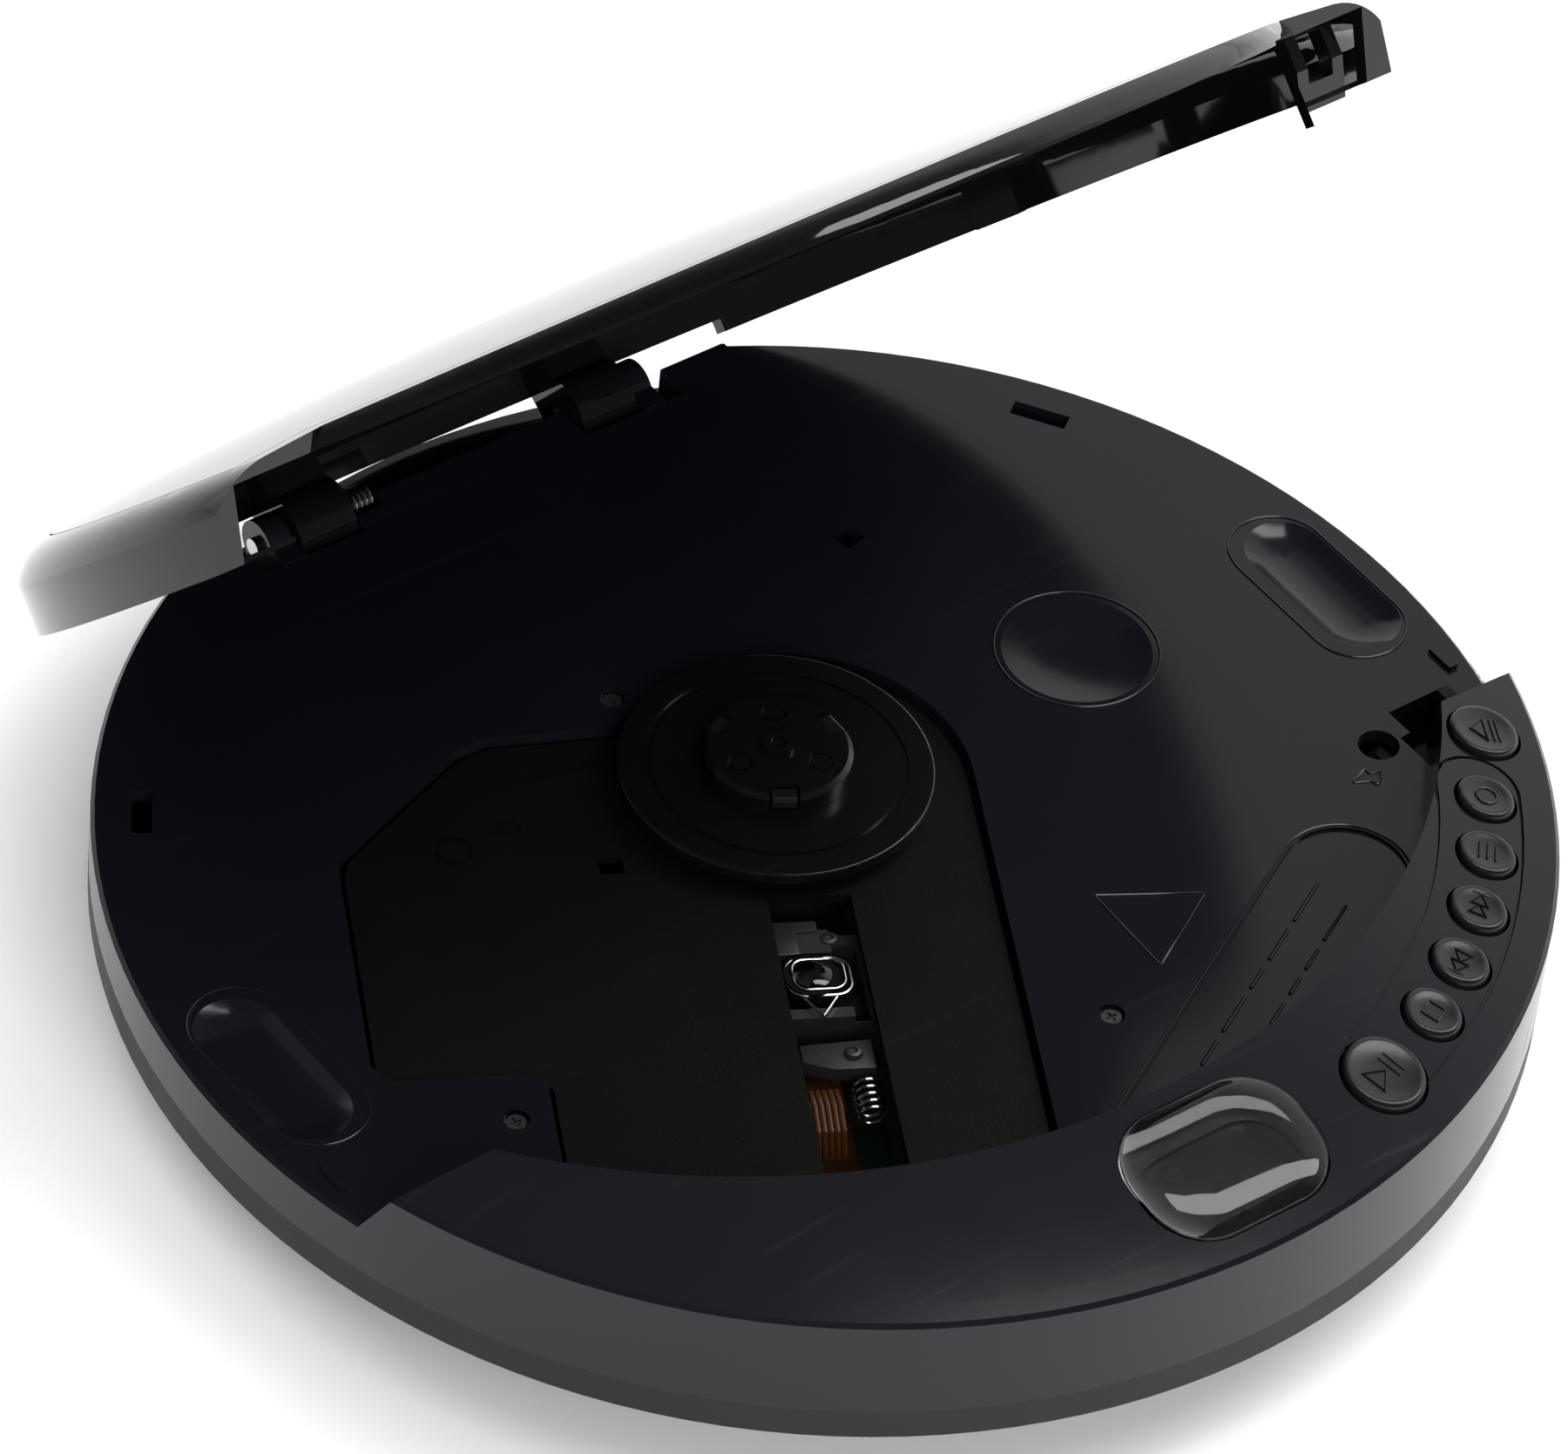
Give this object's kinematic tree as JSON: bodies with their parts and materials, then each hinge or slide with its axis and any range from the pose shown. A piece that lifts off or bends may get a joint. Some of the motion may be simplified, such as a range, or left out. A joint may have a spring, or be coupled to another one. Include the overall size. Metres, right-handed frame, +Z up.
{
  "type": "portable cd player",
  "caption": "Round portable disc player, lid open: raised control crescent with a domed display, round keys, turntable and sliding pickup.",
  "frame": {"origin": "on the table under the middle of the round case; the four feet stand at Z = 0", "axes": "+X along the lid hinge, to the right seen from the control panel; +Y from the panel towards the hinge; +Z up out of the deck"},
  "size_m": [0.142, 0.1446, 0.1087],
  "materials": {
    "case_gloss_navy": "gloss",
    "case_matte_grey": "fine texture",
    "lid_gloss_black": "gloss",
    "key_black": "semi-gloss",
    "mechanism_matte_black": "fine texture",
    "turntable_black": "gloss",
    "window_clear": "clear plastic",
    "display_grey": "liquid crystal glass",
    "lens_glass": "coated",
    "steel_bright": "bright",
    "screw_dark": "blackened",
    "sled_grey": "filled moulding",
    "chassis_steel": "plated sheet",
    "flex_amber": "polyimide film",
    "board_green": "solder mask",
    "chip_black": "moulded",
    "rubber_black": "matte",
    "cell_skin": "printed sleeve",
    "contact_nickel": "nickel plate",
    "nut_white": "low-friction moulding"
  },
  "bodies": {
    "case": {"battery_cells": "cell_skin", "battery_contacts": "contact_nickel", "battery_springs": "contact_nickel", "board_chips": "chip_black", "case_screws": "screw_dark", "chassis_dampers": "rubber_black", "control_board": "board_green", "dc_jack": "chip_black", "deck_screws": "screw_dark", "display_module": "display_grey", "display_window": "window_clear", "feed_motor": "chassis_steel", "flex_cable": "flex_amber", "guide_rods": "steel_bright", "headphone_jack": "chip_black", "hinge_pins": "steel_bright", "key_switches": "chip_black", "lid_spring": "steel_bright", "lid_switch": "chip_black", "lower_case": "case_matte_grey", "main_board": "board_green", "mechanism_chassis": "chassis_steel", "mechanism_cover": "mechanism_matte_black", "rubber_feet": "rubber_black", "spindle_motor": "chassis_steel", "upper_case": "case_gloss_navy", "volume_pot": "chip_black"},
    "lid": {"lid_shell": "lid_gloss_black", "lid_inlay": "lid_gloss_black", "latch_hook": "lid_gloss_black"},
    "platter": {"turntable": "turntable_black", "spindle_shaft": "steel_bright", "spindle_hub": "turntable_black", "hub_clips": "key_black", "hub_screws": "screw_dark"},
    "sled": {"laser_sled": "sled_grey", "feed_nut": "nut_white", "lens_cover": "chassis_steel", "sled_spring": "steel_bright"},
    "lens": {"lens_holder": "mechanism_matte_black", "objective_lens": "lens_glass"},
    "screw": {"feed_screw": "steel_bright"},
    "latch": {"latch_slider": "mechanism_matte_black", "latch_spring": "steel_bright"},
    "hold": {"hold_switch": "key_black"},
    "volume": {"volume_wheel": "key_black"},
    "door": {"battery_door": "case_matte_grey"},
    "open_key": {"open_button": "key_black"},
    "mode_key": {"mode_button": "key_black"},
    "memory_key": {"memory_button": "key_black"},
    "skip_forward_key": {"skip_forward_button": "key_black"},
    "skip_back_key": {"skip_back_button": "key_black"},
    "stop_key": {"stop_button": "key_black"},
    "play_key": {"play_button": "key_black"}
  },
  "joints": [
    {"name": "lid_hinge", "type": "hinge", "parent": "case", "child": "lid", "pos_m": [0, 0.0632, 0.018], "axis": [1, 0, 0], "range_deg": [0, 47]},
    {"name": "platter_spin", "type": "hinge", "parent": "case", "child": "platter", "pos_m": [0, 0.0081, 0.02], "axis": [0, 0, 1], "continuous": true},
    {"name": "sled_travel", "type": "slide", "parent": "case", "child": "sled", "axis": [-0.4695, -0.8829, 0], "range_m": [-0.002, 0.033]},
    {"name": "screw_spin", "type": "hinge", "parent": "case", "child": "screw", "pos_m": [-0.00128, -0.0252, 0.0134], "axis": [0.4695, 0.8829, 0], "range_deg": [-361, 5941]},
    {"name": "lens_focus", "type": "slide", "parent": "sled", "child": "lens", "axis": [0, 0, 1], "range_m": [-0.0005, 0.0005], "stiffness_N_per_m": 60},
    {"name": "latch_slide", "type": "slide", "parent": "case", "child": "latch", "axis": [0, -1, 0], "range_m": [0, 0.0012]},
    {"name": "hold_slide", "type": "slide", "parent": "case", "child": "hold", "axis": [0.2079, 0.9781, 0], "range_m": [0, 0.0024]},
    {"name": "volume_turn", "type": "hinge", "parent": "case", "child": "volume", "pos_m": [0.05374, 0.03763, 0.0154], "axis": [0, 0, 1], "range_deg": [-150, 150]},
    {"name": "door_slide", "type": "slide", "parent": "case", "child": "door", "axis": [1, 0, 0], "range_m": [0, 0.012]},
    {"name": "open_press", "type": "slide", "parent": "case", "child": "open_key", "axis": [0, 0, -1], "range_m": [0, 0.0008], "stiffness_N_per_m": 300, "springref_m": -0.0004},
    {"name": "mode_press", "type": "slide", "parent": "case", "child": "mode_key", "axis": [0, 0, -1], "range_m": [0, 0.0008], "stiffness_N_per_m": 300, "springref_m": -0.0004},
    {"name": "memory_press", "type": "slide", "parent": "case", "child": "memory_key", "axis": [0, 0, -1], "range_m": [0, 0.0008], "stiffness_N_per_m": 300, "springref_m": -0.0004},
    {"name": "skip_forward_press", "type": "slide", "parent": "case", "child": "skip_forward_key", "axis": [0, 0, -1], "range_m": [0, 0.0008], "stiffness_N_per_m": 300, "springref_m": -0.0004},
    {"name": "skip_back_press", "type": "slide", "parent": "case", "child": "skip_back_key", "axis": [0, 0, -1], "range_m": [0, 0.0008], "stiffness_N_per_m": 300, "springref_m": -0.0004},
    {"name": "stop_press", "type": "slide", "parent": "case", "child": "stop_key", "axis": [0, 0, -1], "range_m": [0, 0.0008], "stiffness_N_per_m": 300, "springref_m": -0.0004},
    {"name": "play_press", "type": "slide", "parent": "case", "child": "play_key", "axis": [0, 0, -1], "range_m": [0, 0.0008], "stiffness_N_per_m": 300, "springref_m": -0.0004}
  ],
  "couplings": [
    {"joint": "screw_spin", "follows": "sled_travel", "rad_per_m": 3141.6},
    {"joint": "latch_slide", "follows": "open_press", "ratio": 1.5}
  ]
}
